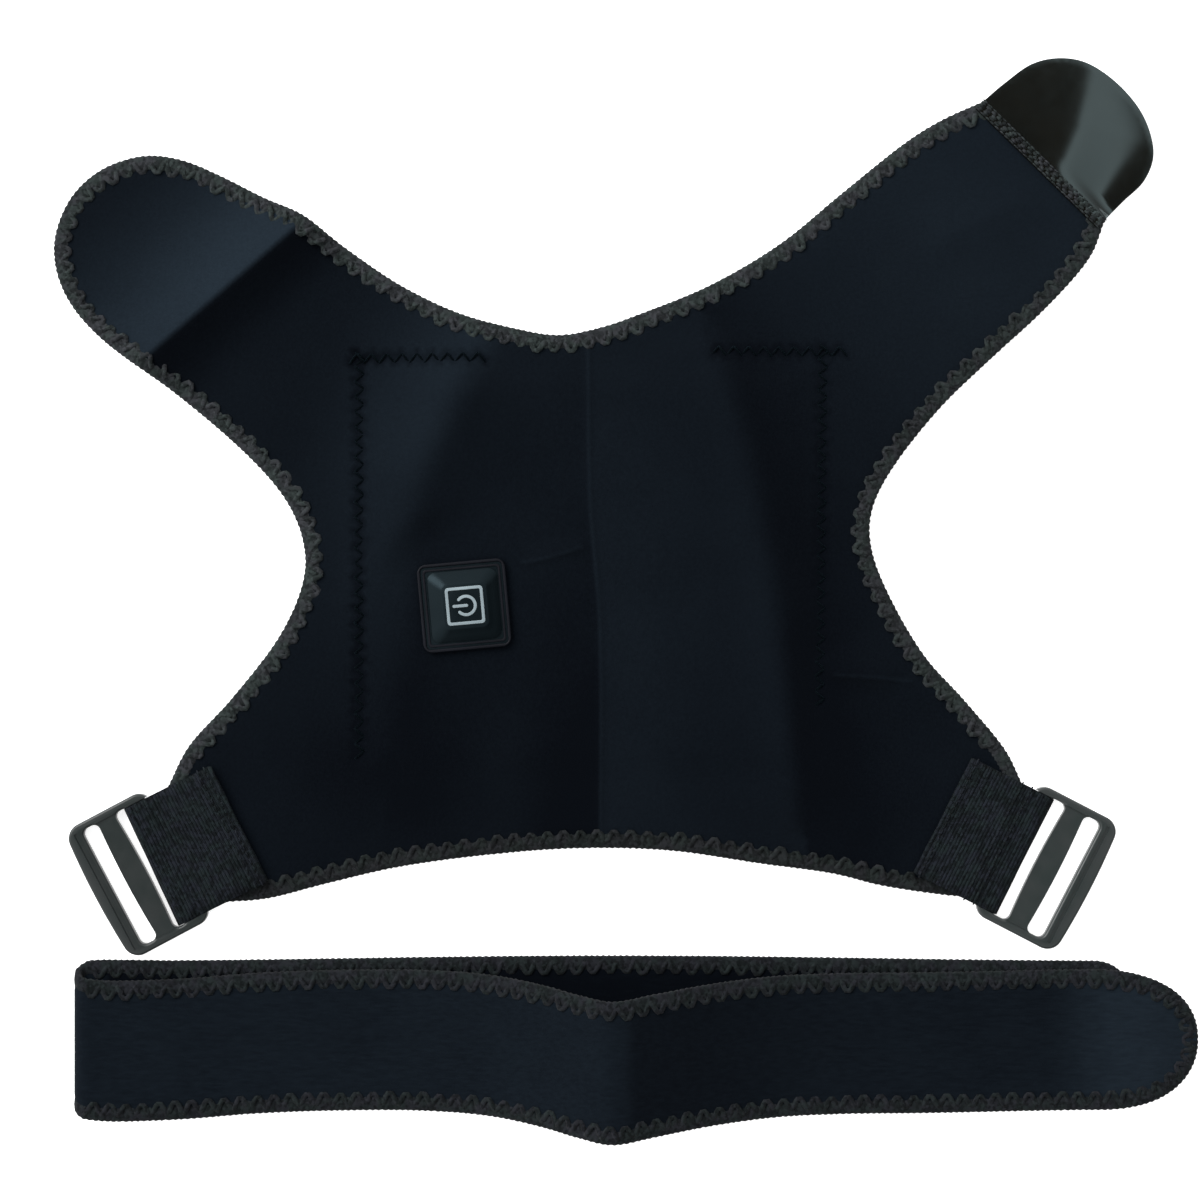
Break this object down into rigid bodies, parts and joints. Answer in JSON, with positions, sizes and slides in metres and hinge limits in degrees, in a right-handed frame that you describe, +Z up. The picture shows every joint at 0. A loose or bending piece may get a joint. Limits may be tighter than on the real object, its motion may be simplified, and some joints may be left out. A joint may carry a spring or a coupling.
{
  "type": "shoulder brace with belt",
  "caption": "Padded cloth shoulder brace with bound edges, a square power switch, a hook tab at the shoulder, slides at the lower corners and a folded belt.",
  "frame": {"origin": "on the surface that the object lies on, under the middle of its box", "axes": "+X to the right shoulder's side, along the belt; +Y towards the neck; +Z up out of the surface"},
  "size_m": [0.4404, 0.4122, 0.0283],
  "materials": {
    "cloth": "napped loop cloth, near black with a blue tint",
    "binding": "dense overlock thread, dark grey green",
    "webbing": "ribbed elastic webbing, dark grey",
    "slide": "satin black moulded plastic",
    "tab": "glossy black film",
    "switch": "soft satin dark grey",
    "inlay": "light silver grey"
  },
  "bodies": {
    "root": {"back_panel": "cloth", "edge_binding_neck": "binding", "edge_binding_hem": "binding", "edge_binding_underarm": "binding", "hook_tab": "tab", "switch_base": "switch", "switch_key": "switch", "key_ring": "inlay", "power_arc": "inlay", "power_bar": "inlay", "slide_left": "slide", "slide_right": "slide", "webbing_left": "webbing", "webbing_right": "webbing", "belt_strap": "cloth", "belt_binding": "binding"}
  },
  "joints": []
}
